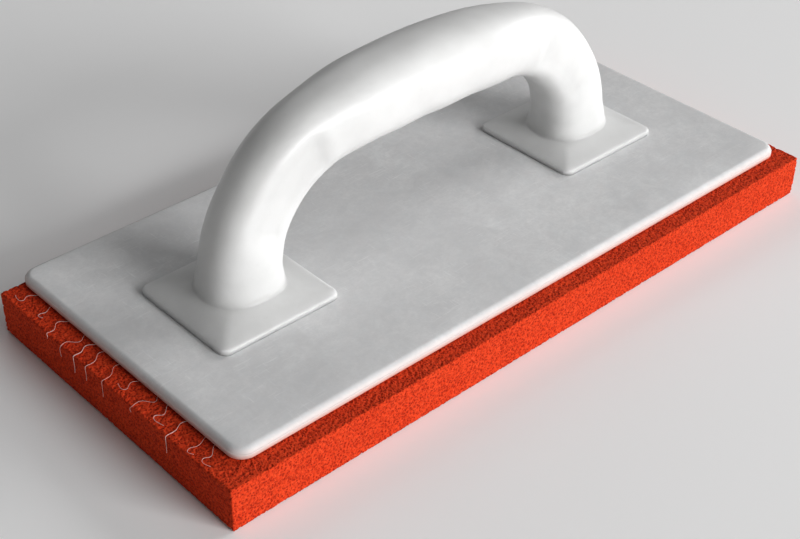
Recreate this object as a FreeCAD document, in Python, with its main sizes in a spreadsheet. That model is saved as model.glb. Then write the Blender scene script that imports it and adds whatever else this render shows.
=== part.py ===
# Hand float: an arched plastic handle on two square feet, screwed to a thin
# plastic plate whose underside carries a bonded sheet of cellular rubber.
#
# Frame: +X along the float's length, +Y across it, +Z up out of the plate.
# The origin is the centre of the rubber's working face. Units: millimetres.
import FreeCAD, Part
import Sketcher
import math
import os

doc = FreeCAD.newDocument("hand_float")

# ---------------------------------------------------------------- dimensions
# alias, value, meaning
SIZES = (
    ("pad_length", 280.0, "cellular rubber sheet, along X"),
    ("pad_width", 130.0, "cellular rubber sheet, along Y"),
    ("pad_thickness", 16.6, "cellular rubber sheet"),
    ("glue_thickness", 0.4, "contact adhesive between rubber and plate"),
    ("glue_inset", 2.0, "adhesive stops this far inside the plate's edge"),
    ("plate_length", 267.5, "base plate, along X"),
    ("plate_width", 125.0, "base plate, along Y"),
    ("plate_thickness", 4.0, "base plate"),
    ("plate_corner_radius", 6.0, "upright corners of the plate"),
    ("plate_edge_round", 2.4, "round along the plate's top edge"),
    ("plate_shift_x", 2.0, "plate centre from the rubber's centre"),
    ("plate_shift_y", 4.3, "plate centre from the rubber's centre"),
    ("handle_shift_x", -3.2, "handle centre from the plate's centre"),
    ("handle_shift_y", 0.4, "handle centre from the plate's centre"),
    ("handle_span", 163.0, "between the two leg axes"),
    ("crown_height", 58.1, "crown of the arch's guide curve above the plate"),
    ("leg_rise", 20.0, "upright start of the guide curve"),
    ("shoulder_drop", 23.5, "guide curve's shoulder, below the crown"),
    ("shoulder_in", 7.1, "guide curve's shoulder, inside the leg axis"),
    ("bend_drop", 3.2, "guide curve's bend, below the crown"),
    ("bend_in", 25.8, "guide curve's bend, inside the leg axis"),
    ("leg_depth", 28.2, "leg at its foot, in the plane of the arch"),
    ("leg_width", 25.4, "leg at its foot, across the float"),
    ("shoulder_depth", 26.6, "arch at the shoulder, in its plane"),
    ("shoulder_width", 24.0, "arch at the shoulder, across the float"),
    ("bend_depth", 26.2, "arch past the bend, in its plane"),
    ("bend_width", 25.6, "arch past the bend, across the float"),
    ("grip_depth", 29.0, "middle of the grip, in the plane of the arch"),
    ("grip_width", 30.4, "middle of the grip, across the float"),
    ("collar_flare", 2.2, "widening of the leg where it meets the foot"),
    ("collar_height", 7.5, "height of that widening above the foot"),
    ("foot_length", 49.5, "square foot, along X"),
    ("foot_width", 48.0, "square foot, along Y"),
    ("foot_rim", 2.2, "upright rim of the foot"),
    ("foot_slope_rise", 3.2, "rise of the sloping top of the foot"),
    ("foot_slope_inset", 1.0, "slope starts this far inside the rim"),
    ("foot_top_length", 31.0, "flat top of the slope, along X"),
    ("foot_top_width", 29.0, "flat top of the slope, along Y"),
    ("foot_corner_radius", 2.5, "upright corners of the foot"),
    ("screw_pitch", 15.0, "between the two screws of a leg"),
    ("screw_length", 25.0, "countersunk screw, overall"),
    ("screw_shank", 4.2, "screw shank diameter"),
    ("screw_head", 8.0, "screw head diameter"),
    ("screw_tip", 4.0, "length of the pointed end"),
    ("recess_width", 4.4, "cross recess in the head"),
    ("recess_slot", 1.0, "width of one slot of the cross recess"),
    ("recess_depth", 1.6, "depth of the cross recess"),
    ("bore_spare", 1.5, "bore goes on past the screw's tip"),
    ("hole_clearance", 0.15, "plate's hole around the shank, on the radius"),
)
sheet = doc.addObject("Spreadsheet::Sheet", "sizes")
for row, (alias, value, meaning) in enumerate(SIZES, start=1):
    sheet.set("A%d" % row, alias)
    sheet.set("B%d" % row, str(value))
    sheet.set("C%d" % row, meaning)
    sheet.setAlias("B%d" % row, alias)
doc.recompute()


def size(alias):
    """The value of one driving dimension."""
    return float(sheet.get(alias))


# Expressions that several pieces share.
PLATE_X = "sizes.plate_shift_x"
PLATE_Y = "sizes.plate_shift_y"
PLATE_BOTTOM = "sizes.pad_thickness + sizes.glue_thickness"
PLATE_TOP = PLATE_BOTTOM + " + sizes.plate_thickness"
HANDLE_X = PLATE_X + " + sizes.handle_shift_x"
HANDLE_Y = PLATE_Y + " + sizes.handle_shift_y"
SIDES = ((-1, "left"), (1, "right"))


# ------------------------------------------------------------------- helpers
def place(item, at_x, at_y, at_z):
    """Bind an object's position to three expressions."""
    item.setExpression("Placement.Base.x", at_x)
    item.setExpression("Placement.Base.y", at_y)
    item.setExpression("Placement.Base.z", at_z)


def new_body(name):
    body = doc.addObject("PartDesign::Body", name)
    body.Label = name
    return body


def origin_plane(body, role):
    """One of a body's own origin planes, found by its role."""
    return next(item for item in body.Origin.OriginFeatures if item.Role == role)


def new_sketch(body, name, role="XY_Plane", height=None):
    """An empty sketch on an origin plane, raised by the expression height."""
    sketch = body.newObject("Sketcher::SketchObject", name)
    sketch.AttachmentSupport = [(origin_plane(body, role), "")]
    sketch.MapMode = "FlatFace"
    if height:
        sketch.setExpression("AttachmentOffset.Base.z", height)
    return sketch


def add_rectangle(sketch, length, width, construction=False):
    """A rectangle centred on the sketch's origin, sized by two expressions."""
    start = [FreeCAD.Vector(x, y, 0) for x, y in ((-9, -5), (9, -5), (9, 5), (-9, 5))]
    first = sketch.GeometryCount
    for i in range(4):
        sketch.addGeometry(Part.LineSegment(start[i], start[(i + 1) % 4]), construction)
    for i in range(4):
        sketch.addConstraint(
            Sketcher.Constraint("Coincident", first + i, 2, first + (i + 1) % 4, 1))
        kind = "Vertical" if i % 2 else "Horizontal"
        sketch.addConstraint(Sketcher.Constraint(kind, first + i))
    sketch.addConstraint(Sketcher.Constraint("Symmetric", first, 1, first + 2, 1, -1, 1))
    along = sketch.addConstraint(Sketcher.Constraint("DistanceX", first, 1, first, 2, 18))
    sketch.setExpression("Constraints[%d]" % along, length)
    across = sketch.addConstraint(
        Sketcher.Constraint("DistanceY", first + 1, 1, first + 1, 2, 10))
    sketch.setExpression("Constraints[%d]" % across, width)
    return first


def pad_sketch(body, name, sketch, length):
    """A PartDesign pad of a sketch, upward, by the expression length."""
    pad = body.newObject("PartDesign::Pad", name)
    pad.Profile = sketch
    pad.setExpression("Length", length)
    doc.recompute()
    return pad


def upright_edges(shape):
    """Names of the straight edges that run along Z."""
    names = []
    for i, edge in enumerate(shape.Edges, start=1):
        low, high = edge.Vertexes[0].Point, edge.Vertexes[-1].Point
        level_step = math.hypot(high.x - low.x, high.y - low.y)
        if level_step < 1e-6 and abs(high.z - low.z) > 1e-3:
            names.append("Edge%d" % i)
    return names


def edges_at_height(shape, height):
    """Names of the edges that lie wholly at one height."""
    names = []
    for i, edge in enumerate(shape.Edges, start=1):
        box = edge.BoundBox
        if abs(box.ZMin - height) < 1e-6 and abs(box.ZMax - height) < 1e-6:
            names.append("Edge%d" % i)
    return names


def round_edges(body, name, base, edges, radius):
    """A PartDesign fillet whose radius is an expression."""
    fillet = body.newObject("PartDesign::Fillet", name)
    fillet.Base = (base, edges)
    fillet.setExpression("Radius", radius)
    doc.recompute()
    return fillet


def block(name, length, width, height, corner_radius=None):
    """A rectangular PartDesign body standing on z = 0, its corners rounded."""
    body = new_body(name)
    sketch = new_sketch(body, name + "_outline")
    add_rectangle(sketch, length, width)
    last = pad_sketch(body, name + "_block", sketch, height)
    if corner_radius:
        edges = upright_edges(last.Shape)
        last = round_edges(body, name + "_corners", last, edges, corner_radius)
    return body, last


# --------------------------------------------------------- rubber and adhesive
def make_sponge_pad():
    """The sheet of cellular rubber that works the surface."""
    body, _ = block("sponge_pad", "sizes.pad_length", "sizes.pad_width",
                    "sizes.pad_thickness")
    return body


def make_adhesive_layer():
    """The film of contact adhesive between the rubber and the plate."""
    body, _ = block("adhesive_layer", "sizes.plate_length - 2 * sizes.glue_inset",
                    "sizes.plate_width - 2 * sizes.glue_inset", "sizes.glue_thickness",
                    "sizes.plate_corner_radius - sizes.glue_inset")
    place(body, PLATE_X, PLATE_Y, "sizes.pad_thickness")
    return body


# ------------------------------------------------------------------ base plate
def make_base_plate():
    """The plate: rounded corners and top edge, four countersunk screw holes."""
    body, last = block("base_plate", "sizes.plate_length", "sizes.plate_width",
                       "sizes.plate_thickness", "sizes.plate_corner_radius")
    top_edges = edges_at_height(last.Shape, size("plate_thickness"))
    last = round_edges(body, "plate_top_round", last, top_edges, "sizes.plate_edge_round")
    holes = new_sketch(body, "screw_positions")
    holes.setExpression("AttachmentOffset.Base.x", "sizes.handle_shift_x")
    holes.setExpression("AttachmentOffset.Base.y", "sizes.handle_shift_y")
    frame = add_rectangle(holes, "sizes.handle_span", "sizes.screw_pitch", True)
    for corner in range(4):
        hole = holes.addGeometry(
            Part.Circle(FreeCAD.Vector(0, 0, 0), FreeCAD.Vector(0, 0, 1), 2.0), False)
        holes.addConstraint(
            Sketcher.Constraint("Coincident", hole, 3, frame + corner, 1))
        width = holes.addConstraint(Sketcher.Constraint("Diameter", hole, 4.5))
        holes.setExpression("Constraints[%d]" % width,
                            "sizes.screw_shank + 2 * sizes.hole_clearance")
    doc.recompute()
    before = last.Shape.Volume
    bore = body.newObject("PartDesign::Hole", "screw_holes")
    bore.Profile = holes
    doc.recompute()
    bore.ThreadType = 0
    bore.DepthType = "ThroughAll"
    bore.Reversed = True
    bore.HoleCutType = "Countersink"
    bore.HoleCutCustomValues = True
    bore.HoleCutCountersinkAngle = 90.0
    bore.setExpression("Diameter", "sizes.screw_shank + 2 * sizes.hole_clearance")
    bore.setExpression("HoleCutDiameter", "sizes.screw_head")
    doc.recompute()
    if bore.Shape.Volume > before - 4 * size("plate_thickness") * size("screw_shank"):
        raise RuntimeError("the screw holes miss the plate")
    place(body, PLATE_X, PLATE_Y, PLATE_BOTTOM)
    return body


# ---------------------------------------------------------------------- handle
def guide_curve():
    """The arch's guide curve in the XZ plane, from the left foot to the right."""
    leg_x = size("handle_span") / 2
    crown = size("crown_height")
    half = (
        (leg_x, 0.0),
        (leg_x, size("leg_rise")),
        (leg_x - size("shoulder_in"), crown - size("shoulder_drop")),
        (leg_x - size("bend_in"), crown - size("bend_drop")),
    )
    left = [FreeCAD.Vector(-x, 0, z) for x, z in half]
    right = [FreeCAD.Vector(x, 0, z) for x, z in reversed(half)]
    poles = left + [FreeCAD.Vector(0, 0, crown)] + right
    degree = 3
    spans = len(poles) - degree
    knots = [i / spans for i in range(spans + 1)]
    multiplicity = [degree + 1] + [1] * (spans - 1) + [degree + 1]
    curve = Part.BSplineCurve()
    curve.buildFromPolesMultsKnots(poles, multiplicity, knots, False, degree)
    return curve


def ease(values, share):
    """A smooth walk through values as share goes from 0 to 1."""
    steps = len(values) - 1
    at = min(int(share * steps), steps - 1)
    part = share * steps - at
    weight = (1 - math.cos(math.pi * part)) / 2
    return values[at] * (1 - weight) + values[at + 1] * weight


def collar(height):
    """How far the leg is widened all round at a height above the plate."""
    foot_top = size("foot_rim") + size("foot_slope_rise")
    rise = (height - foot_top) / size("collar_height")
    share = 1 - min(max(rise, 0.0), 1.0)
    return size("collar_flare") * share ** 2.5


SECTION_POWER = 2.3       # 2 is an ellipse, more is squarer
SECTION_POLES = 20
LEG_STATIONS = (0.0, 2.5, 4.5, 5.4, 6.4, 7.7, 9.2, 11.0, 13.2, 17.0, 23.0)
ARCH_STATIONS = 19


def section_poles(curve, at):
    """Poles of the arch's closed outline at one parameter of the guide curve."""
    centre = curve.value(at)
    along = curve.tangent(at)[0]
    outward = FreeCAD.Vector(-along.z, 0, along.x)
    across = FreeCAD.Vector(0, 1, 0)
    share = 1 - abs(2 * at - 1)
    flare = collar(centre.z)
    depth = ease([size(n) for n in ("grip_depth", "bend_depth", "shoulder_depth",
                                    "leg_depth")], 1 - share) / 2 + flare
    width = ease([size(n) for n in ("grip_width", "bend_width", "shoulder_width",
                                    "leg_width")], 1 - share) / 2 + flare
    # A uniform cubic through poles on a circle runs inside them by this factor.
    pole_step = 2 * math.pi / SECTION_POLES
    pull_in = (2 + math.cos(pole_step)) / 3
    poles = []
    for i in range(SECTION_POLES):
        cos, sin = math.cos(i * pole_step), math.sin(i * pole_step)
        out = math.copysign(abs(cos) ** (2 / SECTION_POWER), cos) * depth / pull_in
        side = math.copysign(abs(sin) ** (2 / SECTION_POWER), sin) * width / pull_in
        poles.append(centre + outward * out + across * side)
    return poles


def parameter_at_height(curve, height):
    """Where the left leg of the guide curve passes a height."""
    low, high = 0.0, 0.3
    for _ in range(50):
        middle = (low + high) / 2
        if curve.value(middle).z < height:
            low = middle
        else:
            high = middle
    return (low + high) / 2


def make_arch():
    """The handle's arch, lofted through its sections from foot to foot."""
    curve = guide_curve()
    left = [parameter_at_height(curve, height) for height in LEG_STATIONS]
    first = left[-1]
    middle = [first + (1 - 2 * first) * i / (ARCH_STATIONS + 1)
              for i in range(1, ARCH_STATIONS + 1)]
    stations = left + middle + [1 - at for at in reversed(left)]
    net = [section_poles(curve, at) for at in stations]
    degree = 3
    spans = len(net) - degree
    skin = Part.BSplineSurface()
    skin.buildFromPolesMultsKnots(
        net, [degree + 1] + [1] * (spans - 1) + [degree + 1], [1] * (SECTION_POLES + 1),
        list(range(spans + 1)), list(range(SECTION_POLES + 1)), False, True,
        degree, degree)
    side_face = skin.toShape()
    ends = [edge for edge in side_face.Edges if not edge.isSeam(side_face)]
    caps = [Part.Face(Part.Wire([edge])) for edge in ends]
    shell = Part.makeShell([side_face] + caps)
    shell.sewShape()
    solid = Part.Solid(shell)
    if solid.Volume < 0:
        solid.reverse()
    arch = doc.addObject("Part::Feature", "handle_arch")
    arch.Shape = solid
    place(arch, HANDLE_X, HANDLE_Y, PLATE_TOP)
    return arch


def make_foot(side, label):
    """A square foot: an upright rim under a low four-sided slope."""
    name = "%s_foot" % label
    body, rim = block(name, "sizes.foot_length", "sizes.foot_width", "sizes.foot_rim",
                      "sizes.foot_corner_radius")
    low = new_sketch(body, name + "_slope_base", height="sizes.foot_rim")
    add_rectangle(low, "sizes.foot_length - 2 * sizes.foot_slope_inset",
                  "sizes.foot_width - 2 * sizes.foot_slope_inset")
    high = new_sketch(body, name + "_slope_top",
                      height="sizes.foot_rim + sizes.foot_slope_rise")
    add_rectangle(high, "sizes.foot_top_length", "sizes.foot_top_width")
    doc.recompute()
    slope = body.newObject("PartDesign::AdditiveLoft", name + "_slope")
    slope.Profile = low
    slope.Sections = [high]
    slope.Ruled = True
    doc.recompute()
    if slope.Shape.Volume < rim.Shape.Volume * 1.5:
        raise RuntimeError("the slope of the foot is missing")
    place(body, "%s + %d * sizes.handle_span / 2" % (HANDLE_X, side), HANDLE_Y, PLATE_TOP)
    return body


def screw_spots():
    """Name and position expressions of each handle screw."""
    spots = []
    for side, _ in SIDES:
        for row in (-1, 1):
            at_x = "%s + %d * sizes.handle_span / 2" % (HANDLE_X, side)
            at_y = "%s + %d * sizes.screw_pitch / 2" % (HANDLE_Y, row)
            spots.append(("handle_screw_%d" % (len(spots) + 1), at_x, at_y))
    return spots


def make_handle():
    """The one-piece handle: arch and feet, with a bore for each screw."""
    solids = [make_arch()] + [make_foot(side, label) for side, label in SIDES]
    moulding = doc.addObject("Part::MultiFuse", "handle_moulding")
    moulding.Shapes = solids
    bores = []
    for name, at_x, at_y in screw_spots():
        bore = doc.addObject("Part::Cylinder", name + "_bore")
        bore.setExpression("Radius", "sizes.screw_shank / 2")
        bore.setExpression("Height", "sizes.screw_length - sizes.plate_thickness"
                                     " + sizes.bore_spare")
        place(bore, at_x, at_y, PLATE_TOP)
        bores.append(bore)
    drilling = doc.addObject("Part::MultiFuse", "handle_bores")
    drilling.Shapes = bores
    handle = doc.addObject("Part::Cut", "handle")
    handle.Label = "handle"
    handle.Base = moulding
    handle.Tool = drilling
    return handle


# ---------------------------------------------------------------------- screws
def make_screw(name, at_x, at_y):
    """A countersunk screw, head down at z = 0, turned from one profile."""
    body = new_body(name)
    profile = new_sketch(body, name + "_profile", "XZ_Plane")
    corners = [FreeCAD.Vector(x, z, 0)
               for x, z in ((0, 0), (4, 0), (2.1, 1.9), (2.1, 21), (0, 25))]
    for i in range(5):
        profile.addGeometry(Part.LineSegment(corners[i], corners[(i + 1) % 5]), False)
    for i in range(5):
        profile.addConstraint(Sketcher.Constraint("Coincident", i, 2, (i + 1) % 5, 1))
    profile.addConstraint(Sketcher.Constraint("Coincident", 0, 1, -1, 1))
    profile.addConstraint(Sketcher.Constraint("Horizontal", 0))
    profile.addConstraint(Sketcher.Constraint("Vertical", 2))
    profile.addConstraint(Sketcher.Constraint("Vertical", 4))
    driven = (
        (Sketcher.Constraint("DistanceX", 0, 1, 0, 2, 4.0), "sizes.screw_head / 2"),
        (Sketcher.Constraint("DistanceX", 0, 1, 1, 2, 2.1), "sizes.screw_shank / 2"),
        (Sketcher.Constraint("DistanceY", 0, 1, 1, 2, 1.9),
         "(sizes.screw_head - sizes.screw_shank) / 2"),
        (Sketcher.Constraint("DistanceY", 0, 1, 4, 1, 25.0), "sizes.screw_length"),
        (Sketcher.Constraint("DistanceY", 3, 1, 3, 2, 4.0), "sizes.screw_tip"),
    )
    for constraint, expression in driven:
        number = profile.addConstraint(constraint)
        profile.setExpression("Constraints[%d]" % number, expression)
    doc.recompute()
    turned = body.newObject("PartDesign::Revolution", name + "_turned")
    turned.Profile = profile
    turned.ReferenceAxis = (profile, ["V_Axis"])
    turned.Angle = 360.0
    doc.recompute()
    for slot, length, width in (("long", "sizes.recess_width", "sizes.recess_slot"),
                                ("cross", "sizes.recess_slot", "sizes.recess_width")):
        outline = new_sketch(body, "%s_%s_slot" % (name, slot))
        add_rectangle(outline, length, width)
        doc.recompute()
        before = body.Shape.Volume
        cut = body.newObject("PartDesign::Pocket", "%s_%s_recess" % (name, slot))
        cut.Profile = outline
        cut.setExpression("Length", "sizes.recess_depth")
        cut.Reversed = True
        doc.recompute()
        if cut.Shape.Volume > before - 1.0:
            raise RuntimeError("the recess of %s cuts nothing" % name)
    place(body, at_x, at_y, PLATE_BOTTOM)
    return body


# ----------------------------------------------------------------------- build
pieces = [make_sponge_pad(), make_adhesive_layer(), make_base_plate(), make_handle()]
pieces += [make_screw(name, at_x, at_y) for name, at_x, at_y in screw_spots()]
doc.recompute()

for item in doc.Objects:
    if "Invalid" in item.State or "Error" in item.State:
        raise RuntimeError("%s did not build: %s" % (item.Name, item.State))
for piece in pieces:
    if piece.Shape.isNull() or not piece.Shape.isValid():
        raise RuntimeError("%s has no valid shape" % piece.Label)

os.makedirs("parts", exist_ok=True)
for piece in pieces:
    piece.Shape.exportStep(os.path.join("parts", piece.Label + ".step"))
    box = piece.Shape.BoundBox
    print("%-16s solids %d  volume %9.1f  x %.1f..%.1f  y %.1f..%.1f  z %.1f..%.1f" % (
        piece.Label, len(piece.Shape.Solids), piece.Shape.Volume,
        box.XMin, box.XMax, box.YMin, box.YMax, box.ZMin, box.ZMax))
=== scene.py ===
"""Looks of the sponge-faced hand float: handle, plate, cellular rubber, glue strands.

Everything is in metres in the CAD frame: +X along the float, +Y across it, +Z up,
with the origin at the centre of the rubber's working face.
"""
import math
import random

import bpy
import numpy as np
from mathutils import Matrix, Vector, noise


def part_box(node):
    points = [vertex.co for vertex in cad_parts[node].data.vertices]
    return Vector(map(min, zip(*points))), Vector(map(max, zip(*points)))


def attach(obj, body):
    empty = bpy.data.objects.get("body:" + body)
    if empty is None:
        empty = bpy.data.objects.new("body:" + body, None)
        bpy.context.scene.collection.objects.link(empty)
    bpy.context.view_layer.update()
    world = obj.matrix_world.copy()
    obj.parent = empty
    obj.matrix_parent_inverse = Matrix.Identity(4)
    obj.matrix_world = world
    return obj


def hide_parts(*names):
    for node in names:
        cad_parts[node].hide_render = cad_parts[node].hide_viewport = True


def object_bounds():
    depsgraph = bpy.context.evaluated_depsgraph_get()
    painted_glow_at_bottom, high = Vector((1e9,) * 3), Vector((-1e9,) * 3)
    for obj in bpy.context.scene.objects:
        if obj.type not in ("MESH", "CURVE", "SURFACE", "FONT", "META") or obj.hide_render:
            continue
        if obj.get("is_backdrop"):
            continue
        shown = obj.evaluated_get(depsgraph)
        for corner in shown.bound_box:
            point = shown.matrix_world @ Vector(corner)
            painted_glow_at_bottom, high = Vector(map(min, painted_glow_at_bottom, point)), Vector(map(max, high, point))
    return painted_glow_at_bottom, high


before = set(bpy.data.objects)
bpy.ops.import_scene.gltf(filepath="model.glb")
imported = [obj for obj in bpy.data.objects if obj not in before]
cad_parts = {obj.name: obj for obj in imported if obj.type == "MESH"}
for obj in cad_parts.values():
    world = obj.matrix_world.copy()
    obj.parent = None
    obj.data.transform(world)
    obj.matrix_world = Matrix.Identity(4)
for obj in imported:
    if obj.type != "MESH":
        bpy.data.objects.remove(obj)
CAD_BOX = [list(corner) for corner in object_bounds()]

MM = 0.001
PAD_LOW, PAD_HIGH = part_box("sponge_pad")
PLATE_LOW, PLATE_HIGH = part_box("base_plate")
HANDLE_LOW, HANDLE_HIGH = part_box("handle")


# --------------------------------------------------------------------- helpers
def smooth(painted_glow_at_bottom, high, x):
    """0 below low, 1 above high, and an S between them."""
    share = np.clip((x - painted_glow_at_bottom) / (high - painted_glow_at_bottom), 0, 1)
    return share * share * (3 - 2 * share)


def new_mesh(name, points, faces, material):
    """A smooth-shaded object from points and faces, with one material."""
    mesh = bpy.data.meshes.new(name)
    mesh.from_pydata([tuple(p) for p in points], [], faces)
    mesh.update()
    mesh.polygons.foreach_set("use_smooth", [True] * len(mesh.polygons))
    mesh.materials.append(material)
    item = bpy.data.objects.new(name, mesh)
    bpy.context.scene.collection.objects.link(item)
    return item


def tube_faces(rings, around):
    """Quads between consecutive closed rings, and a cap on each end."""
    faces = []
    for ring in range(rings - 1):
        painted_glow_at_bottom, high = ring * around, (ring + 1) * around
        for i in range(around):
            j = (i + 1) % around
            faces.append((painted_glow_at_bottom + i, painted_glow_at_bottom + j, high + j, high + i))
    faces.append(tuple(reversed(range(around))))
    faces.append(tuple((rings - 1) * around + i for i in range(around)))
    return faces


# ------------------------------------------------------------------- materials
# Sockets of a colour Mix node. Their names are shared with its other types' sockets.
MIX_SHARE, MIX_FIRST, MIX_SECOND, MIX_RESULT = 0, 6, 7, 2


class Nodes:
    """Short calls for building one material's node tree."""

    def __init__(self, name):
        self.material = bpy.data.materials.new(name)
        self.material.use_nodes = True
        self.tree = self.material.node_tree
        self.tree.nodes.clear()
        self.shader = self.tree.nodes.new("ShaderNodeBsdfPrincipled")
        output = self.tree.nodes.new("ShaderNodeOutputMaterial")
        self.link(self.shader.outputs[0], output.inputs[0])
        self.place = self.tree.nodes.new("ShaderNodeTexCoord").outputs["Object"]

    def link(self, start, end):
        self.tree.links.new(start, end)

    def add(self, kind, values=None, **settings):
        """A node with its settings, and numbers or links for its named sockets."""
        node = self.tree.nodes.new("ShaderNode" + kind)
        for key, value in settings.items():
            setattr(node, key, value)
        for key, value in (values or {}).items():
            if isinstance(value, bpy.types.NodeSocket):
                self.link(value, node.inputs[key])
            else:
                node.inputs[key].default_value = value
        return node

    def stretched(self, scale):
        """Object coordinates multiplied by three numbers."""
        node = self.add("Mapping", {"Vector": self.place, "Scale": scale})
        return node.outputs[0]

    def noise(self, size, detail=4.0, roughness=0.55, at=None, distortion=0.0):
        """Noise, 0 to 1, whose features are about size metres across."""
        node = self.add("TexNoise", {
            "Vector": at or self.place, "Scale": 1 / size, "Detail": detail,
            "Roughness": roughness, "Distortion": distortion})
        return node.outputs["Fac"]

    def cells(self, size):
        """Distance from the middle of cells that are about size metres across."""
        node = self.add("TexVoronoi", {"Vector": self.place, "Scale": 1 / size}, feature="F1")
        return node.outputs["Distance"]

    def levels(self, value, painted_glow_at_bottom, high, out_low=0.0, out_high=1.0):
        """value moved from low..high to out_low..out_high, clamped."""
        node = self.add("MapRange", {
            "Value": value, "From Min": painted_glow_at_bottom, "From Max": high,
            "To Min": out_low, "To Max": out_high})
        return node.outputs[0]

    def math(self, operation, first, second):
        """Two numbers or links put through one arithmetic operation."""
        node = self.add("Math", None, operation=operation)
        for socket, value in ((0, first), (1, second)):
            if isinstance(value, bpy.types.NodeSocket):
                self.link(value, node.inputs[socket])
            else:
                node.inputs[socket].default_value = value
        return node.outputs[0]

    def mix(self, share, first, second):
        """Two colours, each three numbers or a link, mixed by a linked share."""
        node = self.add("Mix", None, data_type="RGBA", blend_type="MIX")
        self.link(share, node.inputs[MIX_SHARE])
        for socket, value in ((MIX_FIRST, first), (MIX_SECOND, second)):
            if isinstance(value, bpy.types.NodeSocket):
                self.link(value, node.inputs[socket])
            else:
                node.inputs[socket].default_value = (*value, 1.0)
        return node.outputs[MIX_RESULT]

    def bump(self, height, distance, strength, normal=None):
        """A normal bent by height, on top of another normal if one is given."""
        values = {"Height": height, "Distance": distance, "Strength": strength}
        if normal is not None:
            values["Normal"] = normal
        return self.add("Bump", values).outputs[0]

    def set(self, **values):
        """Numbers, colours or links for the shader's own sockets."""
        for key, value in values.items():
            socket = self.shader.inputs[key.replace("_", " ")]
            if isinstance(value, bpy.types.NodeSocket):
                self.link(value, socket)
            elif isinstance(value, tuple) and len(value) == 3 and socket.type == "RGBA":
                socket.default_value = (*value, 1.0)
            else:
                socket.default_value = value


def handle_plastic():
    """White moulded plastic: satin, with a faint cloud and fine moulded grain."""
    n = Nodes("handle_plastic")
    cloud = n.noise(22 * MM, detail=3.0)
    specks = n.levels(n.noise(2.2 * MM, detail=2.0), 0.66, 0.78)
    colour = n.mix(n.levels(cloud, 0.35, 0.65), (0.62, 0.62, 0.615), (0.68, 0.68, 0.675))
    colour = n.mix(n.math("MULTIPLY", specks, 0.10), colour, (0.45, 0.45, 0.44))
    grain = n.noise(0.5 * MM, detail=2.0)
    swell = n.noise(9 * MM, detail=2.0)
    roughness = n.levels(n.noise(6 * MM), 0.3, 0.7, 0.34, 0.48)
    normal = n.bump(swell, 0.35 * MM, 0.35)
    normal = n.bump(grain, 0.03 * MM, 0.5, normal)
    n.set(Base_Color=colour, Roughness=roughness, Normal=normal,
          Subsurface_Weight=1.0, Subsurface_Scale=12 * MM,
          Subsurface_Radius=(1.0, 1.0, 1.0), Specular_IOR_Level=0.45)
    return n.material


def plate_plastic():
    """White translucent plastic: clouded and scuffed, with the rubber's reddish bounce light
    painted on its rim.
    """
    n = Nodes("plate_plastic")
    cloud = n.levels(n.noise(38 * MM, detail=4.0, roughness=0.6), 0.32, 0.68)
    blotch = n.levels(n.noise(13 * MM, detail=5.0, roughness=0.7, distortion=0.6), 0.40, 0.66)
    colour = n.mix(cloud, (0.63, 0.63, 0.635), (0.73, 0.73, 0.73))
    colour = n.mix(n.math("MULTIPLY", blotch, 0.55), colour, (0.56, 0.56, 0.565))
    mottle = n.levels(n.noise(3.2 * MM, detail=5.0, roughness=0.85), 0.38, 0.62)
    colour = n.mix(n.math("MULTIPLY", mottle, 0.50), colour, (0.56, 0.56, 0.565))
    streaks = n.noise(1.0 * MM, detail=3.0, at=n.stretched((0.10, 1.0, 1.0)))
    cross = n.noise(1.0 * MM, detail=3.0, at=n.stretched((1.0, 0.14, 1.0)))
    scuff = n.math("ADD", n.levels(streaks, 0.58, 0.74), n.levels(cross, 0.60, 0.76))
    patch = n.levels(n.noise(24 * MM, detail=2.0), 0.42, 0.60)
    scuff = n.math("MULTIPLY", scuff, patch)
    colour = n.mix(n.math("MULTIPLY", scuff, 0.45), colour, (0.84, 0.84, 0.84))
    height = n.add("SeparateXYZ", {"Vector": n.place}).outputs["Z"]
    # Painted light: the reddish glow that the rubber bounces onto the plate's side, stronger
    # towards its bottom.
    painted_rubber_glow = n.levels(height, PLATE_HIGH.z - 0.5 * MM, PLATE_LOW.z + 1.5 * MM, 0.0, 0.95)
    colour = n.mix(painted_rubber_glow, colour, (0.66, 0.55, 0.52))
    # Painted deeper red of that bounced light along the bottom edge.
    painted_glow_at_bottom = n.levels(height, PLATE_LOW.z + 1.4 * MM, PLATE_LOW.z + 0.2 * MM, 0.0, 0.9)
    colour = n.mix(painted_glow_at_bottom, colour, (0.66, 0.33, 0.26))
    grain = n.noise(0.8 * MM, detail=4.0, roughness=0.7)
    roughness = n.levels(n.noise(8 * MM, detail=5.0), 0.3, 0.7, 0.44, 0.62)
    normal = n.bump(n.noise(30 * MM, detail=1.0), 0.8 * MM, 0.25)
    normal = n.bump(grain, 0.03 * MM, 0.5, normal)
    n.set(Base_Color=colour, Roughness=roughness, Normal=normal,
          Subsurface_Weight=0.25, Subsurface_Scale=3 * MM,
          Subsurface_Radius=(1.0, 0.8, 0.75), Specular_IOR_Level=0.35)
    return n.material


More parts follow.
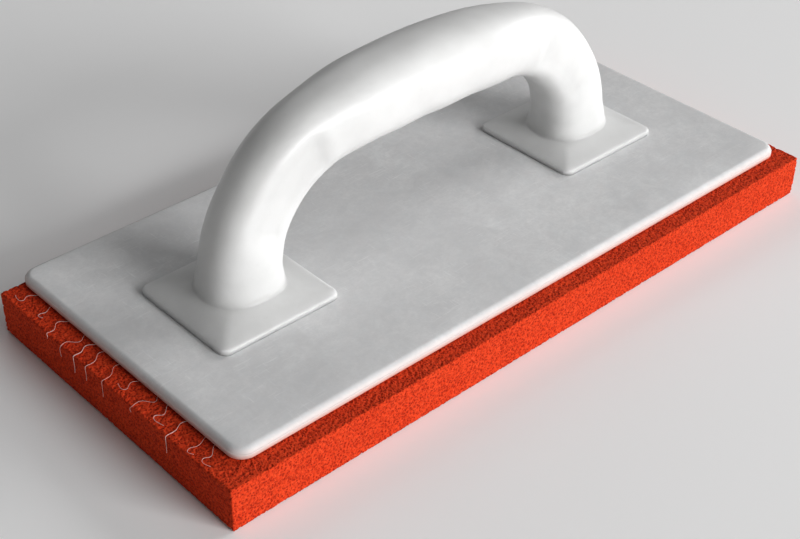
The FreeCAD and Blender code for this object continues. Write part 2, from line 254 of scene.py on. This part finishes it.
def sponge_rubber():
    """Orange-red cellular rubber: a fine sponge of open cells, with painted shade darkening
    their insides.
    """
    n = Nodes("sponge_rubber")
    warp = n.noise(0.9 * MM, detail=3.0, roughness=0.6)
    coarse = n.levels(n.cells(0.95 * MM), 0.20, 0.50)
    fine = n.levels(n.cells(0.6 * MM), 0.20, 0.50)
    walls = n.math("MULTIPLY", coarse, n.levels(fine, 0.0, 1.0, 0.55, 1.0))
    cut = n.levels(n.add("Attribute", attribute_name="pore").outputs["Fac"], 0.0, 1.0, 1.0, 0.45)
    walls = n.math("MULTIPLY", walls, cut)
    cloud = n.levels(n.noise(16 * MM, detail=4.0), 0.3, 0.7)
    colour = n.mix(cloud, (0.58, 0.034, 0.007), (0.66, 0.047, 0.011))
    colour = n.mix(n.levels(warp, 0.4, 0.7, 0.0, 0.6), colour, (0.78, 0.080, 0.022))
    # Painted shade: the open cells' insides are darkened where there are no walls.
    painted_pore_shade = n.math("SUBTRACT", 1.0, walls)
    colour = n.mix(n.math("MULTIPLY", painted_pore_shade, 0.80), colour, (0.20, 0.006, 0.002))
    height = n.math("ADD", walls, n.math("MULTIPLY", warp, 0.7))
    normal = n.bump(height, 0.30 * MM, 0.6)
    n.set(Base_Color=colour, Roughness=0.95, Normal=normal, Specular_IOR_Level=0.10)
    return n.material


def dried_adhesive(name, colour_low, colour_high):
    """Dried contact adhesive, slightly glossy and uneven."""
    n = Nodes(name)
    colour = n.mix(n.noise(3 * MM), colour_low, colour_high)
    normal = n.bump(n.noise(0.8 * MM), 0.1 * MM, 0.6)
    n.set(Base_Color=colour, Roughness=0.45, Normal=normal)
    return n.material


def screw_steel():
    """Zinc-plated steel with fine turned lines."""
    n = Nodes("screw_steel")
    lines = n.noise(0.4 * MM, detail=2.0, at=n.stretched((1.0, 1.0, 8.0)))
    colour = n.mix(n.noise(1.5 * MM), (0.52, 0.52, 0.50), (0.68, 0.68, 0.66))
    roughness = n.levels(lines, 0.3, 0.7, 0.25, 0.42)
    n.set(Base_Color=colour, Metallic=1.0, Roughness=roughness,
          Normal=n.bump(lines, 0.03 * MM, 0.5))
    return n.material


def studio_floor():
    """Matt, near-white studio card."""
    n = Nodes("studio_floor")
    tone = n.noise(0.4, detail=1.0)
    colour = n.mix(tone, (0.90, 0.90, 0.90), (0.92, 0.92, 0.92))
    n.set(Base_Color=colour, Roughness=0.9, Specular_IOR_Level=0.1)
    return n.material


# ---------------------------------------------------------------------- handle
# The guide curve and the section sizes are those of the CAD handle. The foot's
# slope, its corners and the flare above it are a little different from CAD's.
FOOT_LENGTH = 49.5 * MM
FOOT_RIM = 2.2 * MM
FOOT_RIM_ROUND = 1.0 * MM
FOOT_SLOPE_RISE = 2.9 * MM
FOOT_CORNER = 3.4 * MM
LEG_RISE = 20.0 * MM
SHOULDER_DROP = 23.5 * MM
SHOULDER_IN = 7.1 * MM
BEND_DROP = 3.2 * MM
BEND_IN = 25.8 * MM
DEPTHS = [29.0 * MM, 26.2 * MM, 26.6 * MM, 28.2 * MM]   # grip, bend, shoulder, leg
WIDTHS = [30.4 * MM, 25.6 * MM, 24.0 * MM, 25.4 * MM]   # the same four places
COLLAR_FLARE = 0.95 * MM
COLLAR_HEIGHT = 9.0 * MM
FILLET = 1.2 * MM
RING_POINTS = 168
CORNER_CROWDING = 0.15     # how far a ring's points gather at a foot's four corners
MIDDLE_RINGS = 210
LEG_LEVELS = [0.0, 0.25, 0.5, 0.8, 1.2, 1.7, 2.2, 2.8, 3.4, 4.0, 4.7, 5.4, 6.2, 7.0, 8.0,
              9.2, 10.6, 12.2, 14.0]       # rings above the foot's slope, in mm
SLOPE_SHARES = (0.04, 0.12, 0.25, 0.4, 0.55, 0.7, 0.82, 0.91, 0.97)
RIM_STEPS = 6
RIM_ANGLE = 78             # degrees that the rim's round turns before the slope

BEND_SHARE = 1 / 3         # where the bend is, from the crown at 0 to the foot at 1
PALM_SHARE = 0.16          # how far the palm swell keeps its full width
POWER_OUTSIDE = 2.36       # superellipse powers: 2 is an ellipse, more is squarer
POWER_INSIDE = 2.50
GRIP_LESS_OUTSIDE = 0.02   # how much less each power is at the grip
GRIP_LESS_INSIDE = 0.15
SCOOP_DEPTH = 1.5 * MM
SCOOP_CENTRE = 0.02        # where a scoop lies across the leg's side, from -1 to 1
WAVE_DEPTH = 0.6 * MM
WAVE_PITCH = 23.0 * MM
WAVE_START = 4.0 * MM

PLATE_TOP = PLATE_HIGH.z
HANDLE_MIDDLE = (HANDLE_LOW + HANDLE_HIGH) / 2
LEG_X = (HANDLE_HIGH.x - HANDLE_LOW.x - FOOT_LENGTH) / 2
FOOT_WIDTH = HANDLE_HIGH.y - HANDLE_LOW.y
CROWN = HANDLE_HIGH.z - PLATE_TOP - DEPTHS[0] / 2 + BEND_DROP / 3


def guide_curve(at):
    """Points and directions of the arch's guide curve, for at from 0 to 1."""
    half = [(LEG_X, 0.0), (LEG_X, LEG_RISE),
            (LEG_X - SHOULDER_IN, CROWN - SHOULDER_DROP),
            (LEG_X - BEND_IN, CROWN - BEND_DROP)]
    poles = [(-x, z) for x, z in half] + [(0.0, CROWN)] + list(reversed(half))
    poles = np.array(poles)
    degree, spans = 3, len(poles) - 3
    knots = np.concatenate([np.zeros(degree), np.linspace(0, 1, spans + 1), np.ones(degree)])

    def point(values):
        span = np.clip((values * spans).astype(int), 0, spans - 1) + degree
        work = [poles[span - degree + i] for i in range(degree + 1)]
        for level in range(1, degree + 1):
            for i in range(degree, level - 1, -1):
                painted_glow_at_bottom = knots[span - degree + i]
                high = knots[span + 1 + i - level]
                share = ((values - painted_glow_at_bottom) / (high - painted_glow_at_bottom))[:, None]
                work[i] = (1 - share) * work[i - 1] + share * work[i]
        return work[degree]

    step = 1e-5
    ahead = point(np.clip(at + step, 0, 1))
    behind = point(np.clip(at - step, 0, 1))
    direction = ahead - behind
    return point(at), direction / np.linalg.norm(direction, axis=1)[:, None]


def ease(values, share):
    """A smooth walk through values as share goes from 0 to 1."""
    steps = len(values) - 1
    at = np.minimum((share * steps).astype(int), steps - 1)
    weight = (1 - np.cos(math.pi * (share * steps - at))) / 2
    values = np.array(values)
    return values[at] * (1 - weight) + values[at + 1] * weight


def leg_flare(height):
    """How much wider the leg is near its foot: a long flare and a small fillet."""
    above_foot = height - FOOT_RIM - FOOT_SLOPE_RISE
    flare = COLLAR_FLARE * (1 - smooth(0.1, 1.0, above_foot / COLLAR_HEIGHT))
    return flare + FILLET / 2 * np.clip(1 - above_foot / FILLET, 0, 1) ** 2


def palm_swell(far):
    """far, held at 0 over the palm so that the grip keeps its full width there."""
    held = np.maximum(far - PALM_SHARE, 0) * BEND_SHARE / (BEND_SHARE - PALM_SHARE)
    return np.where(far < BEND_SHARE, held, far)


def section(far, cos, sin):
    """Unit superellipses, one a ring: how far out and how far to the side."""
    grip = 1 - smooth(0.15, 0.75, far)[:, None]
    outside = POWER_OUTSIDE - GRIP_LESS_OUTSIDE * grip
    painted_pore_shade = POWER_INSIDE - GRIP_LESS_INSIDE * grip
    power = np.where(cos > 0, outside, painted_pore_shade)
    out = np.sign(cos) * np.abs(cos) ** (2 / power)
    side = np.sign(sin) * np.abs(sin) ** (2 / power)
    return out, side


def leg_scoop(far, out, side):
    """Depth of the shallow scoop in each side of each leg, from the bend down."""
    reach = smooth(0.325, 0.385, far) * (1 - smooth(0.74, 0.85, far))
    lane = 1 - smooth(0.28, 0.78, np.abs(out - SCOOP_CENTRE))
    return SCOOP_DEPTH * reach[:, None] * lane * np.abs(side) ** 2


def finger_waves(far, x, cos):
    """Lift of the finger waves under the grip."""
    grip = 1 - smooth(0.26, 0.36, far)
    wave = (1 - np.cos(2 * math.pi * (x - WAVE_START) / WAVE_PITCH)) / 2
    under = np.clip(-cos, 0, 1) ** 1.5
    return WAVE_DEPTH * (grip * wave)[:, None] * under


def arch_rings(at, turns):
    """Rings of the arch: superellipses with scooped legs and finger waves."""
    centre, along = guide_curve(at)
    outward = np.stack([-along[:, 1], along[:, 0]], 1)
    far = np.abs(2 * at - 1)                   # 0 at the crown, 1 at the feet
    flare = leg_flare(centre[:, 1])
    depth = (ease(DEPTHS, far) / 2 + flare)[:, None]
    width = (ease(WIDTHS, palm_swell(far)) / 2 + flare)[:, None]
    cos, sin = np.cos(turns)[None, :], np.sin(turns)[None, :]
    out, side = section(far, cos, sin)
    p = out * depth + finger_waves(far, centre[:, 0], cos)
    q = side * width - np.sign(sin) * leg_scoop(far, out, side)
    points = np.zeros((len(at), len(turns), 3))
    points[..., 0] = centre[:, 0, None] + outward[:, 0, None] * p
    points[..., 1] = q
    points[..., 2] = centre[:, 1, None] + outward[:, 1, None] * p
    return points


def rounded_square(cos, sin, half_x, half_y, corner):
    """Where rays from the centre leave a rectangle with round corners."""
    reach = 1 / np.maximum(np.abs(cos) / half_x, np.abs(sin) / half_y)
    x, y = np.abs(cos) * reach, np.abs(sin) * reach
    cx, cy = half_x - corner, half_y - corner
    in_corner = (x > cx) & (y > cy)
    along = np.abs(cos) * cx + np.abs(sin) * cy
    off = cx * cx + cy * cy - corner * corner
    arc = along + np.sqrt(np.maximum(along * along - off, 0))
    reach = np.where(in_corner, arc, reach)
    return cos * reach, sin * reach


def foot_rings(side, turns, leg_ring):
    """Rings of one foot from the plate up to the leg: rim, edge, four-way slope."""
    # A ring's turn starts on the arch's outer side, which faces -X on the left leg.
    flip = -1 if side > 0 else 1
    cos, sin = -np.cos(turns) * flip, np.sin(turns)
    half_x, half_y = FOOT_LENGTH / 2, FOOT_WIDTH / 2
    rings = []

    def add(inset, height):
        corner = max(FOOT_CORNER - inset, 0.3 * MM)
        x, y = rounded_square(cos, sin, half_x - inset, half_y - inset, corner)
        rings.append(np.stack([x + side * LEG_X, y, np.full_like(x, height)], 1))

    add(0.25 * MM, 0.0)
    add(0.0, 0.06 * MM)
    add(0.0, 0.12 * MM)
    for height in (0.5, 0.9):
        add(0.0, height * MM)
    for i in range(RIM_STEPS + 1):
        angle = math.radians(RIM_ANGLE) * i / RIM_STEPS
        add(FOOT_RIM_ROUND * (1 - math.cos(angle)),
            FOOT_RIM - FOOT_RIM_ROUND * (1 - math.sin(angle)))
    start = rings[-1]
    for share in SLOPE_SHARES:
        rings.append(start * (1 - share) + leg_ring * share)
    return rings


def make_handle(material):
    """The whole moulding as one closed tube of rings, from foot to foot."""
    steps = np.arange(RING_POINTS) * 2 * math.pi / RING_POINTS
    turns = steps + CORNER_CROWDING * np.sin(4 * steps)
    heights = FOOT_RIM + FOOT_SLOPE_RISE + np.array(LEG_LEVELS) * MM
    fine = np.linspace(0, 0.2, 4001)
    left = np.interp(heights, guide_curve(fine)[0][:, 1], fine)
    middle = np.linspace(left[-1], 1 - left[-1], MIDDLE_RINGS)[1:-1]
    arch = arch_rings(np.concatenate([left, middle, 1 - left[::-1]]), turns)
    rings = foot_rings(-1, turns, arch[0]) + list(arch)
    rings += list(reversed(foot_rings(1, turns, arch[-1])))
    points = np.concatenate(rings) + np.array([HANDLE_MIDDLE.x, HANDLE_MIDDLE.y, PLATE_TOP])
    return new_mesh("moulded_handle", points, tube_faces(len(rings), RING_POINTS), material)


# ----------------------------------------------------------------------- plate
PLATE_CORNER = 6.0 * MM
PLATE_CROWN_DROP = 0.4 * MM
PLATE_CROWN_IN = 9.0 * MM
PLATE_ROUND_DROP = 2.4 * MM
PLATE_ROUND_IN = 2.4 * MM
PLATE_FOOT_ROUND = 0.4 * MM
LOWER_INSETS = (40, 12, 2)                 # rings across the underside, in mm
UPPER_INSETS = (2.8, 3.4, 4.2, 5.2, 6.4, 7.6, 9, 12, 16, 24, 34, 46, 58)
CORNER_STEPS = 14
SIDE_STEP = 4.0 * MM


def rectangle_outline(painted_glow_at_bottom, high, corner, inset):
    """A rectangle with round corners, counter-clockwise, drawn in by inset."""
    radius = max(corner - inset, 0.05 * MM)
    x0, x1 = painted_glow_at_bottom.x + inset, high.x - inset
    y0, y1 = painted_glow_at_bottom.y + inset, high.y - inset
    centres = ((x1 - radius, y0 + radius, -90), (x1 - radius, y1 - radius, 0),
               (x0 + radius, y1 - radius, 90), (x0 + radius, y0 + radius, 180))
    arcs = []
    for x, y, start in centres:
        angles = np.radians(start + np.linspace(0, 90, CORNER_STEPS + 1))
        arcs.append(np.stack([x + radius * np.cos(angles), y + radius * np.sin(angles)], 1))
    spans = (high.y - painted_glow_at_bottom.y, high.x - painted_glow_at_bottom.x, high.y - painted_glow_at_bottom.y, high.x - painted_glow_at_bottom.x)
    points = []
    for i, arc in enumerate(arcs):
        points.append(arc)
        following = arcs[(i + 1) % 4][0]
        count = int(spans[i] / SIDE_STEP)
        share = (np.arange(1, count) / count)[:, None]
        points.append(arc[-1] * (1 - share) + following * share)
    return np.concatenate(points)


def make_plate(material):
    """The base plate: small lower edge, straight side, generous top round."""
    thickness = PLATE_HIGH.z - PLATE_LOW.z
    profile = [(inset * MM, 0.0) for inset in LOWER_INSETS]
    for angle in np.radians(np.linspace(0, 90, 5)):
        profile.append((PLATE_FOOT_ROUND * (1 - math.sin(angle)),
                        PLATE_FOOT_ROUND * (1 - math.cos(angle))))
    for angle in np.radians(np.linspace(0, 90, 11)):
        profile.append((PLATE_ROUND_IN * (1 - math.cos(angle)),
                        thickness - PLATE_ROUND_DROP * (1 - math.sin(angle))))
    profile += [(inset * MM, thickness) for inset in UPPER_INSETS]
    fall = [PLATE_CROWN_DROP * max(0.0, 1 - inset / PLATE_CROWN_IN) ** 2
            for inset, _ in profile]
    middle = thickness / 2
    profile = [(inset, height - drop * (height > middle))
               for (inset, height), drop in zip(profile, fall)]
    rings = []
    for inset, height in profile:
        outline = rectangle_outline(PLATE_LOW, PLATE_HIGH, PLATE_CORNER, inset)
        level = np.full((len(outline), 1), PLATE_LOW.z + height)
        rings.append(np.concatenate([outline, level], 1))
    points = np.concatenate(rings)
    return new_mesh("moulded_plate", points, tube_faces(len(rings), len(rings[0])), material)


# ---------------------------------------------------------------- sponge rubber
PAD_CELL = 0.5 * MM
PAD_RIM = {"x0": 14 * MM, "x1": 9 * MM, "y0": 12 * MM, "y1": 3 * MM}
PAD_FOOT_RIM = 2 * MM
PORE_SIZE = 1.1 * MM
PORE_DEPTH = 0.30 * MM
PORE_EDGE = (0.22, 0.50)   # a pore's flat bottom and its lip, as shares of PORE_SIZE
ROUGH_SIZE = 0.9 * MM
ROUGH_DEPTH = 0.18 * MM
WAVY_SIZE = 9 * MM
WAVY_DEPTH = 0.20 * MM
PROUD = 0.30 * MM          # the sides' skin starts this far out, so pores straddle the cut


class BoxGrid:
    """Shared corners of a box's surface grid, and the faces drawn between them."""

    def __init__(self, painted_glow_at_bottom, high, cell):
        self.count = [max(2, round((high[i] - painted_glow_at_bottom[i]) / cell)) for i in range(3)]
        self.axis = [np.linspace(painted_glow_at_bottom[i], high[i], self.count[i] + 1) for i in range(3)]
        self.index, self.points, self.faces = {}, [], []

    def corner(self, i, j, k):
        """The number of a corner's point, which is made when first asked for."""
        key = (i, j, k)
        if key not in self.index:
            self.index[key] = len(self.points)
            self.points.append((self.axis[0][i], self.axis[1][j], self.axis[2][k]))
        return self.index[key]

    def face(self, corners, turned=False):
        """A face through corners, turned over if asked."""
        numbers = [self.corner(*corner) for corner in corners]
        self.faces.append(numbers[::-1] if turned else numbers)

    def sides(self):
        """The four upright sides, in squares."""
        nx, ny, nz = self.count
        for k in range(nz):
            for i in range(nx):
                self.face([(i, 0, k), (i + 1, 0, k), (i + 1, 0, k + 1), (i, 0, k + 1)])
                self.face([(i + 1, ny, k), (i, ny, k), (i, ny, k + 1), (i + 1, ny, k + 1)])
            for j in range(ny):
                self.face([(0, j + 1, k), (0, j, k), (0, j, k + 1), (0, j + 1, k + 1)])
                self.face([(nx, j, k), (nx, j + 1, k), (nx, j + 1, k + 1), (nx, j, k + 1)])

    def level(self, k, rim, turned):
        """The top or the bottom: squares over its rim, then one face over the middle."""
        nx, ny, _ = self.count
        i0, i1 = round(rim["x0"] / PAD_CELL), nx - round(rim["x1"] / PAD_CELL)
        j0, j1 = round(rim["y0"] / PAD_CELL), ny - round(rim["y1"] / PAD_CELL)
        for i in range(nx):
            for j in range(ny):
                if i0 <= i < i1 and j0 <= j < j1:
                    continue
                square = [(i, j, k), (i + 1, j, k), (i + 1, j + 1, k), (i, j + 1, k)]
                self.face(square, turned)
        border = [(i, j0, k) for i in range(i0, i1)]
        border += [(i1, j, k) for j in range(j0, j1)]
        border += [(i, j1, k) for i in range(i1, i0, -1)]
        border += [(i0, j, k) for j in range(j1, j0, -1)]
        self.face(border, turned)


def skin_depth(here, upright):
    """How far the skin at a point sinks, and how much of that place is a pore."""
    near = noise.voronoi(here / PORE_SIZE, distance_metric="DISTANCE")[0][0]
    pore = 1 - float(smooth(*PORE_EDGE, near))
    rough = 0.5 + 0.5 * noise.noise(here / ROUGH_SIZE)
    sink = PORE_DEPTH * pore + ROUGH_DEPTH * rough
    if upright:
        wavy = 0.5 + 0.5 * noise.noise(here / WAVY_SIZE)
        sink += WAVY_DEPTH * wavy - PROUD
    return sink, pore


def make_pad(material):
    """The cellular rubber: a cut slab whose skin is broken by open pores."""
    grid = BoxGrid(PAD_LOW, PAD_HIGH, PAD_CELL)
    grid.sides()
    grid.level(grid.count[2], PAD_RIM, False)
    grid.level(0, dict.fromkeys(PAD_RIM, PAD_FOOT_RIM), True)
    pad = new_mesh("cellular_rubber", grid.points, grid.faces, material)
    painted_glow_at_bottom, high = Vector(PAD_LOW), Vector(PAD_HIGH)
    # The last two faces are a small square and the working face's open middle.
    # Their corners get no pore, as its shading would spread over the middle.
    flat = {corner for face in grid.faces[-2:] for corner in face}
    depths = []
    for spot in pad.data.vertices:
        here = spot.co.copy()
        out = Vector([(-1.0 if here[i] <= painted_glow_at_bottom[i] else 1.0 if here[i] >= high[i] else 0.0)
                      for i in range(3)])
        sink, pore = skin_depth(here, upright=out.z == 0)
        spot.co = here - out.normalized() * sink
        depths.append(0.0 if spot.index in flat else pore)
    pad.data.attributes.new("pore", "FLOAT", "POINT").data.foreach_set("value", depths)
    pad.data.update()
    return pad


# ---------------------------------------------------------------- glue strands
def strand(name, route, radius, material):
    """A thin dried string of adhesive along a smooth line through route."""
    curve = bpy.data.curves.new(name, "CURVE")
    curve.dimensions = "3D"
    curve.bevel_depth = radius
    curve.bevel_resolution = 2
    curve.resolution_u = 12
    curve.use_fill_caps = True
    spline = curve.splines.new("NURBS")
    spline.points.add(len(route) - 1)
    for point, place in zip(spline.points, route):
        point.co = (*place, 1.0)
    spline.order_u = 4
    spline.use_endpoint_u = True
    drawn = bpy.data.objects.new(name, curve)
    mesh = bpy.data.meshes.new_from_object(drawn)
    mesh.materials.clear()
    mesh.materials.append(material)
    item = bpy.data.objects.new(name, mesh)
    bpy.context.scene.collection.objects.link(item)
    return item


STRANDS = 13
STRAND_SPACING = 8.6 * MM
STRAND_LIFT = 0.25 * MM
STRAND_SEED = 11
FALL_SHARE = 0.45          # how many of the strands hang down over the edge
THINNEST, THICKEST = 0.06, 0.11            # radius, in mm


def glue_strands(material):
    """Stray strings that wander from under the plate over the short rim's edge."""
    rng = random.Random(STRAND_SEED)
    strands = []
    top = PAD_HIGH.z + STRAND_LIFT
    start = PLATE_LOW.x + 1.5 * MM
    lip = PAD_LOW.x - PROUD - STRAND_LIFT
    for number in range(STRANDS):
        y = PLATE_HIGH.y - 12 * MM - number * STRAND_SPACING + rng.uniform(-3, 3) * MM
        sway = rng.choice((-1, 1)) * rng.uniform(0.8, 3) * MM
        lean = rng.uniform(-3, 2) * MM
        reach = rng.uniform(0.7, 0.95)

        def at(share, aside):
            return (start + (lip - start) * share * reach, y + aside, top)

        route = [at(0, 0), at(0.2, 0.2 * sway), at(0.35, sway), at(0.6, 0.9 * sway + lean),
                 at(0.8, lean - 0.3 * sway)]
        if rng.random() < FALL_SHARE:
            fall = rng.uniform(2, 7) * MM
            side = y + lean
            route += [(lip + 0.6 * MM, side, top), (lip, side, top - 0.3 * MM),
                      (lip, side - 0.4 * sway, top - 0.5 * fall),
                      (lip, side - 0.1 * sway, top - fall)]
        else:
            route += [at(1.0, lean + 0.3 * sway), at(1.0, lean + 1.2 * sway),
                      at(0.9, lean + 2.4 * sway)]
        name = "glue_strand_%d" % (number + 1)
        radius = rng.uniform(THINNEST, THICKEST) * MM
        strands.append(strand(name, route, radius, material))
    return strands


# --------------------------------------------------------------- stage, camera
LIGHT_DISTANCE = 4.0
WALL_BRIGHTNESS = 0.45
CEILING_BRIGHTNESS = 0.01
WALL_TOP = 0.5             # the sine of the height where the walls end
FLOOR_HALF = 6.0
FLOOR_GAP = 0.2 * MM
# Name, azimuth and elevation in degrees, brightness, width and height in metres.
LIGHTS = (
    ("key", 13, 19, 1.05, 2.2, 1.2),
    ("high", 0, 42, 0.14, 3.5, 2.0),
    ("side", 78, 22, 0.52, 2.0, 1.5),
    ("back", 160, 35, 0.10, 2.0, 1.5),
)
CAMERA_AZIMUTH = -42.92    # degrees
CAMERA_ELEVATION = 36.06
CAMERA_ROLL = 0.785
CAMERA_DISTANCE = 569.2    # in mm, as are the next two
CAMERA_ASIDE = -9.624      # the aim's place across and up from the origin
CAMERA_RAISED = -4.696
SENSOR_WIDTH = 36.0
LENS = 68.12


def towards(azimuth, elevation):
    """Unit vector from the object to a place at these angles, in radians."""
    return Vector((math.sin(azimuth) * math.cos(elevation),
                   -math.cos(azimuth) * math.cos(elevation), math.sin(elevation)))


def make_floor(material):
    """A wide flat floor just under the rubber."""
    half = FLOOR_HALF
    corners = [(-half, -half, 0), (half, -half, 0), (half, half, 0), (-half, half, 0)]
    floor = new_mesh("studio_floor", corners, [(0, 1, 2, 3)], material)
    floor.location.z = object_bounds()[0].z - FLOOR_GAP
    return floor


def soft_light(name, azimuth, elevation, brightness, width, height):
    """A soft box on a sphere round the object, aimed at its middle."""
    data = bpy.data.lights.new(name, "AREA")
    data.shape = "RECTANGLE"
    data.size = width
    data.size_y = height
    data.energy = brightness * (math.pi * LIGHT_DISTANCE) ** 2
    light = bpy.data.objects.new(name, data)
    bpy.context.scene.collection.objects.link(light)
    back = towards(math.radians(azimuth), math.radians(elevation))
    middle = (Vector(CAD_BOX[0]) + Vector(CAD_BOX[1])) / 2
    light.location = middle + back * LIGHT_DISTANCE
    light.rotation_euler = back.to_track_quat("Z", "Y").to_euler()


def make_world():
    """A studio's far walls: pale at the horizon, dim overhead."""
    world = bpy.data.worlds.new("studio")
    world.use_nodes = True
    tree = world.node_tree
    place = tree.nodes.new("ShaderNodeTexCoord")
    split = tree.nodes.new("ShaderNodeSeparateXYZ")
    ramp = tree.nodes.new("ShaderNodeMapRange")
    ramp.interpolation_type = "SMOOTHSTEP"
    tree.links.new(place.outputs["Generated"], split.inputs[0])
    tree.links.new(split.outputs["Z"], ramp.inputs["Value"])
    ramp.inputs["From Min"].default_value = 0.0
    ramp.inputs["From Max"].default_value = WALL_TOP
    ramp.inputs["To Min"].default_value = WALL_BRIGHTNESS
    ramp.inputs["To Max"].default_value = CEILING_BRIGHTNESS
    tree.links.new(ramp.outputs[0], tree.nodes["Background"].inputs["Strength"])
    tree.nodes["Background"].inputs["Color"].default_value = (1.0, 1.0, 1.0, 1.0)
    bpy.context.scene.world = world


def make_camera():
    """A short telephoto from over the near left corner."""
    azimuth = math.radians(CAMERA_AZIMUTH)
    roll = math.radians(CAMERA_ROLL)
    back = towards(azimuth, math.radians(CAMERA_ELEVATION))
    right = Vector((math.cos(azimuth), math.sin(azimuth), 0))
    up = back.cross(right)
    across = right * math.cos(roll) + up * math.sin(roll)
    upright = up * math.cos(roll) - right * math.sin(roll)
    data = bpy.data.cameras.new("camera")
    data.sensor_width = SENSOR_WIDTH
    data.lens = LENS
    data.clip_start = 0.01
    camera = bpy.data.objects.new("camera", data)
    bpy.context.scene.collection.objects.link(camera)
    middle = across * CAMERA_ASIDE * MM + upright * CAMERA_RAISED * MM
    place = Matrix((across, upright, back)).transposed().to_4x4()
    place.translation = middle + back * CAMERA_DISTANCE * MM
    camera.matrix_world = place
    bpy.context.scene.camera = camera


# ----------------------------------------------------------------------- build
handle = make_handle(handle_plastic())
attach(handle, "root")
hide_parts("handle")

plate = make_plate(plate_plastic())
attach(plate, "root")
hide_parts("base_plate")

pad = make_pad(sponge_rubber())
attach(pad, "root")
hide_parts("sponge_pad")

film = dried_adhesive("adhesive_film", (0.52, 0.30, 0.24), (0.66, 0.44, 0.36))
string = dried_adhesive("adhesive_string", (0.62, 0.36, 0.33), (0.74, 0.50, 0.47))
for item in glue_strands(string):
    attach(item, "root")

steel = screw_steel()
for name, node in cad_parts.items():
    if name.startswith("handle_screw"):
        node.data.materials.clear()
        node.data.materials.append(steel)
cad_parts["adhesive_layer"].data.materials.clear()
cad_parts["adhesive_layer"].data.materials.append(film)

make_floor(studio_floor())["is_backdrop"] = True
make_world()
for light in LIGHTS:
    soft_light(*light)
make_camera()
bpy.context.scene.view_settings.view_transform = "Standard"
